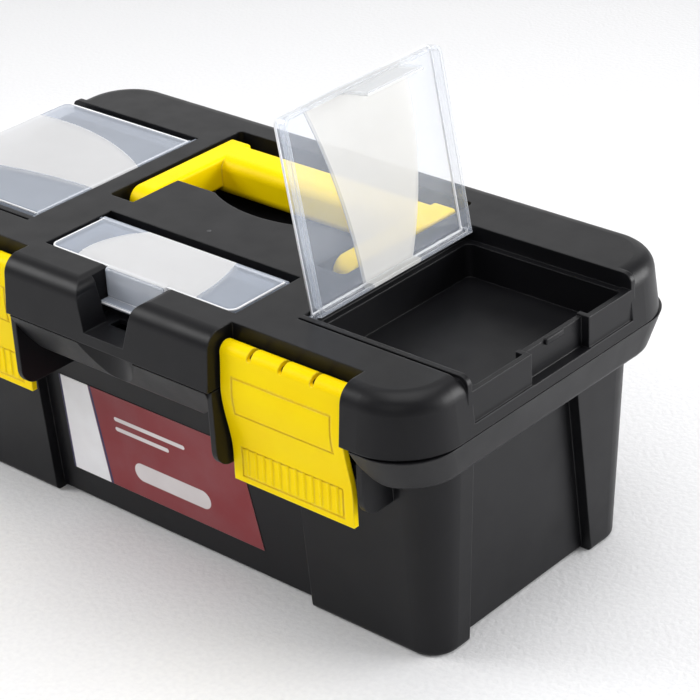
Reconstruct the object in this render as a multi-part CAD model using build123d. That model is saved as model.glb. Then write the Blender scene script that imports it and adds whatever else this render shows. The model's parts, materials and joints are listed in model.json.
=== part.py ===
from build123d import *
import os

os.makedirs("parts", exist_ok=True)

# Small portable tool box: a drafted tub, a hinged lid with three covered
# compartments, two snap latches, a folding carry handle and a lift-out tray.
# Millimetres. X runs along the box, Y to the back, Z up from the floor.
# Distances called setback are measured back from the lid's front edge.

# Shared walls and fits
WALL = 2.4
SKIN = 2.2
OVERRUN = 20.0
SEAT_GAP = 0.3
RUN_FIT = 0.04

# Lid
LID_LENGTH = 320.0
LID_DEPTH = 171.25
LID_CORNER = 27.0
LID_TOP = 131.7
LID_ROLL = 8.0
LID_DRAFT = 2.5
LID_SEAT = 5.0
LIP_INSET = 4.2
LIP_WALL = 1.4
LIP_DROP = 2.0
LIP_GAP = 0.4
PARTING = 107.3
PARTING_GAP = 0.8

# Rear hinge
HINGE_OFFSET = 4.5
KNUCKLE_RADIUS = 3.5
HINGE_PIN_RADIUS = 1.5
HINGE_SPREAD = 85.0
LID_KNUCKLE = 18.0
BASE_KNUCKLE = 10.0
KNUCKLE_GAP = 0.5
KNUCKLE_WEB = 9.0

# Tub
TUB_END_SETBACK = 17.8
TUB_FOOT_DEPTH = 123.5
TUB_SETBACK = 30.15
TUB_CORNER = 12.0
TUB_DRAFT_SHARE = 0.06
TUB_FOOT_ROUND = 2.5
FOOT_HEIGHT = 1.2
PANEL_RECESS = 5.0
FRONT_PANEL_LENGTH = 152.7
END_PANEL_SETBACK = 49.75
END_PANEL_FOOT = 81.1
END_PANEL_TOP = 64.8

# Collar under the lid
COLLAR_HEIGHT = 17.3
COLLAR_FOOT_INSET = 4.5
COLLAR_TOP_INSET = 0.3
COLLAR_FRONT_INSET = 8.25
COLLAR_BACK_INSET = 5.0
COLLAR_CORNER = 23.0
COLLAR_ROUND = 4.0
THUMB_HALF = 16.0
THUMB_DEPTH = 7.5

# Latch pockets of the collar
POCKET_SETBACK = 16.25
POCKET_INNER_CENTRE = 38.0
POCKET_OUTER_CENTRE = 146.0
POCKET_INNER_ROUND = 18.0
POCKET_OUTER_ROUND = 17.0
CHEEK_WALL = 2.6
CHEEK_BOTTOM = 72.0
CHEEK_INNER_SETBACK = 2.0
CHEEK_OUTER_SETBACK = 8.75
CHEEK_ROUND = 8.0
KEEPER_REACH = 4.0
KEEPER_HEIGHT = 4.0

# Latches
LATCH_WIDTH = 62.0
LATCH_START = 59.0
LATCH_INNER_GAP = 1.4
LATCH_OUTER_GAP = 3.6
LATCH_WALL = 2.6
LATCH_BOTTOM = 65.5
LATCH_BAR_SETBACK = 11.25
LATCH_BAR_DROP = 9.2
LATCH_BAR_RADIUS = 2.2
LATCH_ROLL_RADIUS = 4.3
LATCH_BELLY_SETBACK = 5.85
LATCH_BELLY_HEIGHT = 106.5
LATCH_WAIST_SETBACK = 9.6
LATCH_WAIST_HEIGHT = 82.0
LATCH_SLOT_PITCH = 16.0
LATCH_SLOT_WIDTH = 2.0
LATCH_SLOT_DEPTH = 2.7
LATCH_SLOT_EYE = 1.1
LATCH_RIB_WIDTH = 1.4
LATCH_RIB_HEIGHT = 2.0
LATCH_MOUTH = 3.6
HOOK_LENGTH = 48.0
HOOK_HEIGHT = 3.2
HOOK_REACH = 3.2
HOOK_GAP = 0.5
FRAME_WIDTH = 51.0
FRAME_HEIGHT = 16.8
FRAME_BOTTOM = 97.6
FRAME_LINE = 0.8
FRAME_CUT = 0.5
GRIP_RIBS = 12
GRIP_FIELD_WIDTH = 50.5
GRIP_FIELD_HEIGHT = 12.0
GRIP_FIELD_BOTTOM = 69.5
GRIP_RIB_RADIUS = 0.9
GRIP_FRAME_WIDTH = 53.0
GRIP_FRAME_HEIGHT = 13.6
GRIP_FRAME_BOTTOM = 68.0

# End compartments and their covers
SIDE_RECESS_INNER = 76.5
SIDE_RECESS_SETBACK = 36.35
SIDE_RECESS_DEPTH = 99.2
SIDE_LEDGE_DROP = 7.0
SIDE_LEDGE_WIDTH = 3.0
SIDE_WELL_CORNER = 3.0
WELL_FLOOR_LIFT = 2.4
END_WALL_INSET = 1.3
END_WALL_DROP = 6.5
END_FACE_BOTTOM = 112.0
FIN_WIDTH = 2.4
FIN_ROUND = 4.0
GROOVE_WIDTH = 1.4
GROOVE_DEPTH = 1.5
NOTCH_HALF = 18.0
NOTCH_SETBACK = 89.75
NOTCH_BOTTOM = 111.8
NOTCH_DEPTH = 3.7
NOTCH_WALL_DROP = 7.4
SIDE_COVER_SETBACK = 39.45
SIDE_COVER_DEPTH = 92.2
SIDE_COVER_OVERHANG = 0.1
SIDE_HINGE_X = 78.45
SIDE_OPEN_ANGLE = 99.5
COVER_WALL = 1.6
COVER_RIM = 6.0
COVER_EDGE = 2.0
COVER_CORNER = 4.0
COVER_BARREL = 1.6
COVER_STUB_RADIUS = 0.9
COVER_STUB_BITE = 2.0
COVER_TAB_GAP = 1.6
COVER_TAB_LIFT = 1.6
COVER_TAB_WALL = 1.6
COVER_TAB_LAP = 1.4

# Front compartment, its cover and tab
FRONT_RECESS_HALF = 54.0
FRONT_RECESS_SETBACK = 21.95
FRONT_RECESS_DEPTH = 37.6
FRONT_LEDGE_DROP = 7.0
FRONT_LEDGE_WIDTH = 4.0
FRONT_COVER_HALF = 51.9
FRONT_COVER_SETBACK = 22.25
FRONT_COVER_DEPTH = 32.9
TAB_RECESS_HALF = 17.5
TAB_RECESS_FLOOR = 112.0
TAB_RECESS_ROUND = 5.0
TAB_SLOT_DEPTH = 8.6
TAB_CHANNEL_FOOT = 11.2
TAB_CHANNEL_HALF = 15.2
TAB_HOLE_HALF = 8.0
TAB_HOLE_DEPTH = 6.0
TAB_HOLE_SETBACK = 12.0
TAB_HALF = 16.3
TAB_WALL = 1.7
TAB_CROWN = 1.2
TAB_BOTTOM = 117.2
TAB_LIP = 4.0

# Handle and its well
HANDLE_HALF = 64.4
HANDLE_ARM_WIDTH = 12.0
HANDLE_ARM_HEIGHT = 14.0
HANDLE_PIVOT_SETBACK = 85.75
HANDLE_GRIP_SETBACK = 124.65
HANDLE_GRIP_DEPTH = 19.8
HANDLE_GRIP_HEIGHT = 18.0
HANDLE_GRIP_ROUND = 5.5
HANDLE_ARM_ROUND = 1.6
HANDLE_STUB_RADIUS = 3.0
HANDLE_STUB_REACH = 5.6
HANDLE_WELL_HALF = 66.8
HANDLE_WELL_SETBACK = 70.65
HANDLE_WELL_DEPTH = 81.9
ISLAND_HALF = 52.2
ISLAND_BACK_SETBACK = 97.75
ISLAND_SCOOP_HALF = 30.0
ISLAND_SCOOP_DEPTH = 7.3
WELL_CORNER = 2.5

# Lift-out tray
TRAY_GAP = 1.5
TRAY_WALL = 1.8
TRAY_BOTTOM = 58.0
TRAY_DIVIDER_TOP = 104.0
TRAY_GRIP_HALF = 55.0
TRAY_HOLE_HALF = 38.0
TRAY_HOLE_HEIGHT = 18.0
TRAY_GRIP_RAIL = 7.0
TRAY_BRIM = 2.0

# Front label
LABEL_THICKNESS = 0.3
LABEL_BOTTOM = 14.0
LABEL_TOP = 62.0
LABEL_LEFT = 67.0
LABEL_RIGHT_TOP = 38.9
LABEL_RIGHT_BOTTOM = 47.1

# Places worked out from the sizes above
LID_FRONT = -(LID_DEPTH + HINGE_OFFSET + KNUCKLE_RADIUS) / 2
LID_BACK = LID_FRONT + LID_DEPTH
LID_HALF = LID_LENGTH / 2
TUB_FOOT_LENGTH = LID_LENGTH - 2 * TUB_END_SETBACK
COLLAR_TOP_LENGTH = LID_LENGTH - 2 * COLLAR_TOP_INSET
COLLAR_FOOT_LENGTH = LID_LENGTH - 2 * COLLAR_FOOT_INSET
HINGE_Y = LID_BACK + HINGE_OFFSET
TUB_FRONT = LID_FRONT + TUB_SETBACK
TUB_MIDDLE = TUB_FRONT + TUB_FOOT_DEPTH / 2
TUB_TOP = PARTING - PARTING_GAP
COLLAR_BOTTOM = PARTING - COLLAR_HEIGHT
SHELF_TOP = COLLAR_BOTTOM + WALL
POCKET_BACK = LID_FRONT + POCKET_SETBACK
LATCH_CENTRE = LATCH_START + LATCH_WIDTH / 2
POCKET_INNER = LATCH_START - LATCH_INNER_GAP
POCKET_OUTER = LATCH_START + LATCH_WIDTH + LATCH_OUTER_GAP
LATCH_BAR_Y = LID_FRONT + LATCH_BAR_SETBACK
LATCH_BAR_Z = LID_TOP - LATCH_BAR_DROP
WELL_FLOOR = PARTING + WELL_FLOOR_LIFT
COVER_AXIS_Z = LID_TOP - COVER_BARREL
SIDE_RECESS_FRONT = LID_FRONT + SIDE_RECESS_SETBACK
SIDE_RECESS_BACK = SIDE_RECESS_FRONT + SIDE_RECESS_DEPTH
SIDE_COVER_FRONT = LID_FRONT + SIDE_COVER_SETBACK
SIDE_COVER_BACK = SIDE_COVER_FRONT + SIDE_COVER_DEPTH
END_FACE = LID_HALF - END_WALL_INSET
END_WALL_TOP = LID_TOP - END_WALL_DROP
SIDE_COVER_END = END_FACE + SIDE_COVER_OVERHANG
NOTCH_Y = LID_FRONT + NOTCH_SETBACK
NOTCH_BACK = END_FACE - NOTCH_DEPTH
FRONT_RECESS_FRONT = LID_FRONT + FRONT_RECESS_SETBACK
FRONT_RECESS_BACK = FRONT_RECESS_FRONT + FRONT_RECESS_DEPTH
FRONT_WELL_FRONT = FRONT_RECESS_FRONT + SKIN
FRONT_COVER_FRONT = LID_FRONT + FRONT_COVER_SETBACK
FRONT_COVER_BACK = FRONT_COVER_FRONT + FRONT_COVER_DEPTH
FRONT_HINGE_Y = FRONT_COVER_BACK - COVER_BARREL
HANDLE_PIVOT_Y = LID_FRONT + HANDLE_PIVOT_SETBACK
HANDLE_PIVOT_Z = LID_TOP - HANDLE_ARM_HEIGHT / 2
GRIP_FRONT = LID_FRONT + HANDLE_GRIP_SETBACK
GRIP_BACK = GRIP_FRONT + HANDLE_GRIP_DEPTH
HANDLE_WELL_FRONT = LID_FRONT + HANDLE_WELL_SETBACK
HANDLE_WELL_BACK = HANDLE_WELL_FRONT + HANDLE_WELL_DEPTH
ISLAND_BACK = LID_FRONT + ISLAND_BACK_SETBACK


def block(x0, x1, y0, y1, z0, z1):
    """Box between two opposite corners."""
    middle = Pos((x0 + x1) / 2, (y0 + y1) / 2, (z0 + z1) / 2)
    return middle * Box(x1 - x0, y1 - y0, z1 - z0)


def plan(x0, x1, y0, y1, z, corner):
    """Rounded rectangle lying at one height."""
    return Pos((x0 + x1) / 2, (y0 + y1) / 2, z) * RectangleRounded(x1 - x0, y1 - y0, corner)


def well(x0, x1, y0, y1, z0, z1, corner):
    """Upright block with rounded vertical corners."""
    return extrude(plan(x0, x1, y0, y1, z0, corner), z1 - z0)


def rod_x(x0, x1, y, z, radius):
    """Round bar along X."""
    return Pos((x0 + x1) / 2, y, z) * Rot(0, 90, 0) * Cylinder(radius, x1 - x0)


def rod_y(y0, y1, x, z, radius):
    """Round bar along Y."""
    return Pos(x, (y0 + y1) / 2, z) * Rot(90, 0, 0) * Cylinder(radius, y1 - y0)


def other_side(shape):
    """Mirror image on the other end of the box."""
    return mirror(shape, about=Plane.YZ)


def both_sides(shape):
    """A shape with its mirror image on the other end of the box."""
    return [shape, other_side(shape)]


def arc_radius(half_width, depth):
    """Radius of a shallow scoop of one width and depth."""
    return (half_width**2 + depth**2) / (2 * depth)


# Tub

def tub_section(z, inset):
    """Plan of the drafted tub wall at one height, drawn in by an inset."""
    grow = TUB_DRAFT_SHARE * z - inset
    half_length = TUB_FOOT_LENGTH / 2 + grow
    half_depth = TUB_FOOT_DEPTH / 2 + grow
    front = TUB_MIDDLE - half_depth
    back = TUB_MIDDLE + half_depth
    return plan(-half_length, half_length, front, back, z, TUB_CORNER + grow)


def tub_form(inset, bottom, top):
    """Drafted block between two heights."""
    return loft([tub_section(bottom, inset), tub_section(top, inset)])


def panel_zones(shrink):
    """The stretches between the corner posts, where the walls are drawn in."""
    half = FRONT_PANEL_LENGTH / 2 + shrink
    front = LID_FRONT + END_PANEL_SETBACK - shrink
    back_foot = LID_FRONT + END_PANEL_SETBACK + END_PANEL_FOOT + shrink
    back_top = LID_FRONT + END_PANEL_SETBACK + END_PANEL_TOP + shrink
    along = block(-half, half, LID_FRONT - OVERRUN, LID_BACK + OVERRUN, -OVERRUN, SHELF_TOP + OVERRUN)
    slope = (back_top - back_foot) / COLLAR_BOTTOM
    low = -OVERRUN
    high = SHELF_TOP + OVERRUN
    outline = Polyline(
        (front, low), (back_foot + slope * low, low),
        (back_foot + slope * high, high), (front, high), close=True,
    )
    across = extrude(Plane.YZ * make_face(outline), LID_LENGTH, both=True)
    return [along, across]


def collar_form(inset, bottom, top):
    """Flaring collar between the tub and the lid."""
    foot_half = COLLAR_FOOT_LENGTH / 2 - inset
    top_half = COLLAR_TOP_LENGTH / 2 - inset
    foot_front = LID_FRONT + COLLAR_FRONT_INSET + inset
    foot_back = LID_BACK - COLLAR_BACK_INSET - inset
    top_front = LID_FRONT + COLLAR_TOP_INSET + inset
    top_back = LID_BACK - COLLAR_TOP_INSET - inset
    low = plan(-foot_half, foot_half, foot_front, foot_back, bottom, COLLAR_CORNER - inset)
    high = plan(-top_half, top_half, top_front, top_back, top, COLLAR_CORNER - inset)
    return loft([low, high])


def pocket_gap(shrink):
    """Air of one latch pocket in the collar, with quarter-round ends."""
    outline = Pos((POCKET_INNER_CENTRE + POCKET_OUTER_CENTRE) / 2, (COLLAR_BOTTOM + PARTING) / 2) * Rectangle(
        POCKET_OUTER_CENTRE - POCKET_INNER_CENTRE, PARTING - COLLAR_BOTTOM + 2 * WALL
    )
    outline -= Pos(POCKET_INNER_CENTRE, PARTING) * Circle(POCKET_INNER_ROUND - shrink)
    outline -= Pos(POCKET_OUTER_CENTRE, PARTING) * Circle(POCKET_OUTER_ROUND - shrink)
    front = LID_FRONT - OVERRUN
    back = POCKET_BACK + shrink
    return Pos(0, back, 0) * extrude(Plane.XZ * outline, back - front)


def thumb_scoop(shrink):
    """Shallow upright scoop in the middle of the collar's front."""
    radius = arc_radius(THUMB_HALF, THUMB_DEPTH)
    middle = LID_FRONT + COLLAR_TOP_INSET + THUMB_DEPTH - radius
    height = PARTING - COLLAR_BOTTOM + 2 * WALL
    return Pos(0, middle, (PARTING + COLLAR_BOTTOM) / 2) * Cylinder(radius + shrink, height)


def cheek(x0, x1, setback):
    """Plate beside a latch, with a rounded lower front corner."""
    front = LID_FRONT + setback
    plate = block(x0, x1, front, TUB_FRONT + PANEL_RECESS, CHEEK_BOTTOM, TUB_TOP)
    corner = plate.edges().filter_by(Axis.X).group_by(Axis.Z)[0].sort_by(Axis.Y)[0]
    return fillet(corner, CHEEK_ROUND)


def base_knuckles(side):
    """Two hinge knuckles on the back of the collar."""
    shapes = []
    inner = LID_KNUCKLE / 2 + KNUCKLE_GAP
    outer = inner + BASE_KNUCKLE
    for direction in (-1, 1):
        ends = sorted((side * HINGE_SPREAD + direction * inner, side * HINGE_SPREAD + direction * outer))
        shapes.append(rod_x(ends[0], ends[1], HINGE_Y, PARTING, KNUCKLE_RADIUS))
        web_front = LID_BACK - COLLAR_BACK_INSET - WALL
        shapes.append(block(ends[0], ends[1], web_front, HINGE_Y, PARTING - KNUCKLE_WEB, TUB_TOP))
        foot = KNUCKLE_RADIUS + HINGE_OFFSET / 2
        back = HINGE_Y + KNUCKLE_RADIUS
        shapes.append(block(ends[0], ends[1], HINGE_Y - foot, back, PARTING - foot, PARTING))
    return shapes


def base_tub():
    """Tub with feet, drawn-in panels, collar, latch pockets and hinge knuckles."""
    posts = tub_form(0, 0, SHELF_TOP)
    posts = fillet(posts.edges().group_by(Axis.Z)[0], TUB_FOOT_ROUND)
    posts = posts - panel_zones(0)
    collar = collar_form(0, COLLAR_BOTTOM, TUB_TOP)
    collar = fillet(collar.edges().group_by(Axis.Z)[0], COLLAR_ROUND)
    collar = collar - both_sides(pocket_gap(0)) - thumb_scoop(0)
    outer = tub_form(PANEL_RECESS, FOOT_HEIGHT, SHELF_TOP) + posts + collar

    for side in (-1, 1):
        inner = (POCKET_INNER - CHEEK_WALL, CHEEK_INNER_SETBACK)
        for x0, setback in (inner, (POCKET_OUTER, CHEEK_OUTER_SETBACK)):
            ends = sorted((side * x0, side * (x0 + CHEEK_WALL)))
            outer += cheek(ends[0], ends[1], setback)
        ends = sorted((side * POCKET_INNER, side * POCKET_OUTER))
        keeper_bottom = COLLAR_BOTTOM - KEEPER_HEIGHT
        keeper_front = POCKET_BACK - KEEPER_REACH
        outer += block(ends[0], ends[1], keeper_front, POCKET_BACK + WALL, keeper_bottom, SHELF_TOP)
        outer += base_knuckles(side)

    room = tub_form(PANEL_RECESS + WALL, FOOT_HEIGHT + WALL, SHELF_TOP)
    corners = tub_form(WALL, WALL, SHELF_TOP) - panel_zones(WALL)
    mouth = collar_form(WALL, SHELF_TOP, PARTING) - both_sides(pocket_gap(WALL)) - thumb_scoop(WALL)
    tub = outer - room - corners - mouth
    return tub - hinge_bores()


def hinge_length():
    """Length of one whole rear hinge."""
    return LID_KNUCKLE + 2 * KNUCKLE_GAP + 2 * BASE_KNUCKLE


def hinge_rod(side, radius):
    """Bar through the whole of one rear hinge."""
    half = hinge_length() / 2
    return rod_x(side * HINGE_SPREAD - half, side * HINGE_SPREAD + half, HINGE_Y, PARTING, radius)


def hinge_bores():
    """Air for the two rear hinge pins."""
    return [hinge_rod(side, HINGE_PIN_RADIUS + RUN_FIT) for side in (-1, 1)]


def hinge_pin(side):
    """Plain steel pin of one rear hinge."""
    return hinge_rod(side, HINGE_PIN_RADIUS)


# Lid

def lid_section(z, inset):
    """Plan of the lid at one height."""
    half = LID_HALF - inset
    return plan(-half, half, LID_FRONT + inset, LID_BACK - inset, z, LID_CORNER - inset)


def lid_form(inset, bottom):
    """Lid block with its rolled top edge."""
    form = loft([lid_section(bottom, inset), lid_section(LID_TOP - inset, inset + LID_DRAFT)])
    return fillet(form.edges().group_by(Axis.Z)[-1], LID_ROLL - inset)


def side_ledge(grow):
    """Air of the shallow recess that takes an end cover."""
    return block(
        SIDE_RECESS_INNER - grow, LID_HALF + OVERRUN, SIDE_RECESS_FRONT - grow, SIDE_RECESS_BACK + grow,
        LID_TOP - SIDE_LEDGE_DROP - grow, LID_TOP + OVERRUN,
    )


def side_well(grow):
    """Air of an end compartment, below its ledge."""
    return well(
        SIDE_RECESS_INNER + SIDE_LEDGE_WIDTH - grow, END_FACE - WALL + grow,
        SIDE_RECESS_FRONT + SIDE_LEDGE_WIDTH - grow, SIDE_RECESS_BACK - SIDE_LEDGE_WIDTH + grow,
        WELL_FLOOR - grow, LID_TOP, SIDE_WELL_CORNER + grow,
    )


def end_notch(grow):
    """Air of the snap notch in an end wall."""
    return block(
        NOTCH_BACK - grow, LID_HALF + OVERRUN, NOTCH_Y - NOTCH_HALF - grow, NOTCH_Y + NOTCH_HALF + grow,
        NOTCH_BOTTOM - grow, LID_TOP + OVERRUN,
    )


def end_wall():
    """Wall that closes an end compartment, below the cover's rim."""
    wall = block(
        END_FACE - WALL - SKIN, END_FACE, SIDE_RECESS_FRONT, SIDE_RECESS_BACK, WELL_FLOOR - SKIN, END_WALL_TOP
    )
    return wall - side_well(0)


def notch_wall():
    """Inward bulge of the end wall behind the snap notch."""
    return block(
        NOTCH_BACK - SKIN, NOTCH_BACK, NOTCH_Y - NOTCH_HALF - SKIN, NOTCH_Y + NOTCH_HALF + SKIN,
        WELL_FLOOR - SKIN, LID_TOP - NOTCH_WALL_DROP,
    ) + [
        block(
            NOTCH_BACK - SKIN, END_FACE, y, y + SKIN, WELL_FLOOR - SKIN, END_WALL_TOP
        ) for y in (NOTCH_Y - NOTCH_HALF - SKIN, NOTCH_Y + NOTCH_HALF)
    ] + block(
        NOTCH_BACK - SKIN, END_FACE, NOTCH_Y - NOTCH_HALF - SKIN, NOTCH_Y + NOTCH_HALF + SKIN,
        WELL_FLOOR - SKIN, NOTCH_BOTTOM,
    )


def side_fin(y0):
    """Upright fin that carries a recess edge straight out over the rolled end."""
    inner = LID_HALF - LID_ROLL - LID_DRAFT
    fin = block(inner, END_FACE, y0, y0 + FIN_WIDTH, WELL_FLOOR, LID_TOP)
    corner = fin.edges().filter_by(Axis.Y).group_by(Axis.Z)[-1].sort_by(Axis.X)[-1]
    return fillet(corner, FIN_ROUND)


def front_ledge(grow):
    """Air of the shallow recess that takes the front cover."""
    return block(
        -FRONT_RECESS_HALF - grow, FRONT_RECESS_HALF + grow,
        FRONT_RECESS_FRONT - grow, FRONT_RECESS_BACK + grow,
        LID_TOP - FRONT_LEDGE_DROP - grow, LID_TOP + OVERRUN,
    )


def front_well(grow):
    """Air of the front compartment, below its ledge."""
    half = FRONT_RECESS_HALF - FRONT_LEDGE_WIDTH + grow
    return well(
        -half, half, FRONT_WELL_FRONT - grow, FRONT_RECESS_BACK - FRONT_LEDGE_WIDTH + grow,
        WELL_FLOOR - grow, LID_TOP, SIDE_WELL_CORNER + grow,
    )


def tab_recess(grow):
    """Air round the front cover's tab: a slot for it and a rounded-over finger channel in front."""
    foot = TAB_CHANNEL_FOOT + grow
    half = TAB_CHANNEL_HALF + grow
    floor = TAB_RECESS_FLOOR - grow
    high = LID_TOP + OVERRUN
    shoulder = LID_TOP - TAB_RECESS_ROUND
    outline = make_face(
        Polyline(
            (-foot, floor), (foot, floor), (half, shoulder), (half, high),
            (-half, high), (-half, shoulder), close=True,
        )
    )
    flare = Pos(0, (shoulder + high) / 2) * Rectangle(2 * (half + TAB_RECESS_ROUND), high - shoulder)
    for side in (-1, 1):
        flare -= Pos(side * (half + TAB_RECESS_ROUND), shoulder) * Circle(TAB_RECESS_ROUND)
    front = LID_FRONT - OVERRUN
    back = FRONT_RECESS_FRONT + grow
    channel = Pos(0, back, 0) * extrude(Plane.XZ * (outline + flare), back - front)
    slot_half = TAB_RECESS_HALF + grow
    slot_front = FRONT_RECESS_FRONT - TAB_SLOT_DEPTH - grow
    return channel + block(-slot_half, slot_half, slot_front, back, floor, high)


def handle_well(grow):
    """Air round the folded handle, with a raised island inside the bail."""
    room = well(
        -HANDLE_WELL_HALF - grow, HANDLE_WELL_HALF + grow, HANDLE_WELL_FRONT - grow, HANDLE_WELL_BACK + grow,
        WELL_FLOOR - grow, LID_TOP + OVERRUN, WELL_CORNER + grow,
    )
    half = ISLAND_HALF - grow
    back = ISLAND_BACK - grow
    island = block(-half, half, HANDLE_WELL_FRONT - OVERRUN, back, 0, LID_TOP + 2 * OVERRUN)
    radius = arc_radius(ISLAND_SCOOP_HALF, ISLAND_SCOOP_DEPTH)
    middle = ISLAND_BACK - ISLAND_SCOOP_DEPTH + radius
    island -= Pos(0, middle, LID_TOP / 2) * Cylinder(radius + grow, LID_TOP + OVERRUN)
    return room - island


def latch_recess(grow):
    """Air of one latch recess in the lid's front."""
    return block(
        POCKET_INNER - grow, POCKET_OUTER + grow, LID_FRONT - OVERRUN, POCKET_BACK + grow,
        PARTING - OVERRUN, LID_TOP + OVERRUN,
    )


def latch_bar(side):
    """Hinge bar of one latch with the ribs that hold it."""
    ends = sorted((side * POCKET_INNER, side * POCKET_OUTER))
    shapes = [rod_x(ends[0] - SKIN / 2, ends[1] + SKIN / 2, LATCH_BAR_Y, LATCH_BAR_Z, LATCH_BAR_RADIUS)]
    for step in (-1, 0, 1):
        x = side * LATCH_CENTRE + step * LATCH_SLOT_PITCH
        x0 = x - LATCH_RIB_WIDTH / 2
        x1 = x + LATCH_RIB_WIDTH / 2
        shapes.append(
            block(
                x0, x1, LATCH_BAR_Y, POCKET_BACK + SKIN / 2,
                LATCH_BAR_Z - LATCH_RIB_HEIGHT / 2, LATCH_BAR_Z + LATCH_RIB_HEIGHT / 2,
            )
        )
    return shapes


def lid_knuckle(side):
    """Middle knuckle of one rear hinge."""
    x0 = side * HINGE_SPREAD - LID_KNUCKLE / 2
    x1 = side * HINGE_SPREAD + LID_KNUCKLE / 2
    return [
        rod_x(x0, x1, HINGE_Y, PARTING, KNUCKLE_RADIUS),
        block(x0, x1, LID_BACK - WALL, HINGE_Y, PARTING, PARTING + KNUCKLE_WEB),
        block(x0, x1, HINGE_Y - HINGE_OFFSET, HINGE_Y + KNUCKLE_RADIUS, PARTING, PARTING + KNUCKLE_RADIUS),
    ]


def cover_stub_holes():
    """Pivot holes of the three covers and the handle."""
    reach = COVER_STUB_BITE + SEAT_GAP
    radius = COVER_STUB_RADIUS + RUN_FIT
    side_hole = rod_y(SIDE_RECESS_FRONT - reach, SIDE_RECESS_BACK + reach, SIDE_HINGE_X, COVER_AXIS_Z, radius)
    half = FRONT_RECESS_HALF + reach
    handle_half = HANDLE_HALF + HANDLE_STUB_REACH + SEAT_GAP
    return both_sides(side_hole) + [
        rod_x(-half, half, FRONT_HINGE_Y, COVER_AXIS_Z, radius),
        rod_x(HANDLE_WELL_HALF, handle_half, HANDLE_PIVOT_Y, HANDLE_PIVOT_Z, HANDLE_STUB_RADIUS + RUN_FIT),
        rod_x(-handle_half, -HANDLE_WELL_HALF, HANDLE_PIVOT_Y, HANDLE_PIVOT_Z, HANDLE_STUB_RADIUS + RUN_FIT),
    ]


def lid_shell():
    """Lid with its compartments, wells, latch recesses and knuckles."""
    outer = lid_form(0, PARTING)
    cavity = lid_form(WALL, PARTING + SKIN)
    cavity += lid_section_block(LID_SEAT, PARTING, PARTING + SKIN)
    cavity -= both_sides(side_ledge(SKIN)) + both_sides(side_well(SKIN)) + both_sides(latch_recess(SKIN))
    cavity -= [front_ledge(SKIN), front_well(SKIN), tab_recess(SKIN), handle_well(SKIN)]
    lid = outer - cavity + lid_lip()

    for y0 in (SIDE_RECESS_FRONT - FIN_WIDTH, SIDE_RECESS_BACK):
        lid += both_sides(side_fin(y0))
    face_cut = block(
        END_FACE, LID_HALF + OVERRUN, SIDE_RECESS_FRONT, SIDE_RECESS_BACK, END_FACE_BOTTOM, LID_TOP + OVERRUN
    )
    groove_back = SIDE_RECESS_FRONT - FIN_WIDTH
    groove = block(
        SIDE_RECESS_INNER, LID_HALF + OVERRUN, groove_back - GROOVE_WIDTH, groove_back,
        LID_TOP - GROOVE_DEPTH, LID_TOP + OVERRUN,
    )
    lid -= both_sides(side_ledge(0)) + both_sides(side_well(0)) + both_sides(face_cut) + both_sides(groove)
    lid += both_sides(end_wall())
    lid -= both_sides(end_notch(0))
    lid += both_sides(notch_wall())

    hole_front = LID_FRONT + TAB_HOLE_SETBACK
    hole_back = hole_front + TAB_HOLE_DEPTH
    hole = block(-TAB_HOLE_HALF, TAB_HOLE_HALF, hole_front, hole_back, PARTING, TAB_RECESS_FLOOR)
    lid -= [front_ledge(0), front_well(0), tab_recess(0), hole, handle_well(0)]
    lid -= both_sides(latch_recess(0))
    for side in (-1, 1):
        lid += latch_bar(side) + lid_knuckle(side)
    return lid - cover_stub_holes() - hinge_bores()


def lid_lip():
    """Locating lip under the lid, inside the collar's mouth and clear of the hinges and pockets."""
    bottom = PARTING - LIP_DROP
    top = PARTING + SKIN
    lip = lid_section_block(LIP_INSET, bottom, top) - lid_section_block(LIP_INSET + LIP_WALL, bottom, top)
    lip -= both_sides(pocket_gap(WALL + LIP_GAP)) + [thumb_scoop(WALL + LIP_GAP)]
    reach = hinge_length() / 2 + LIP_GAP
    hinge_air = block(HINGE_SPREAD - reach, HINGE_SPREAD + reach, 0, LID_BACK, bottom, PARTING)
    return lip - both_sides(hinge_air)


def lid_section_block(inset, bottom, top):
    """Straight block of the lid's plan."""
    return extrude(lid_section(bottom, inset), top - bottom)


# Latches

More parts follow.
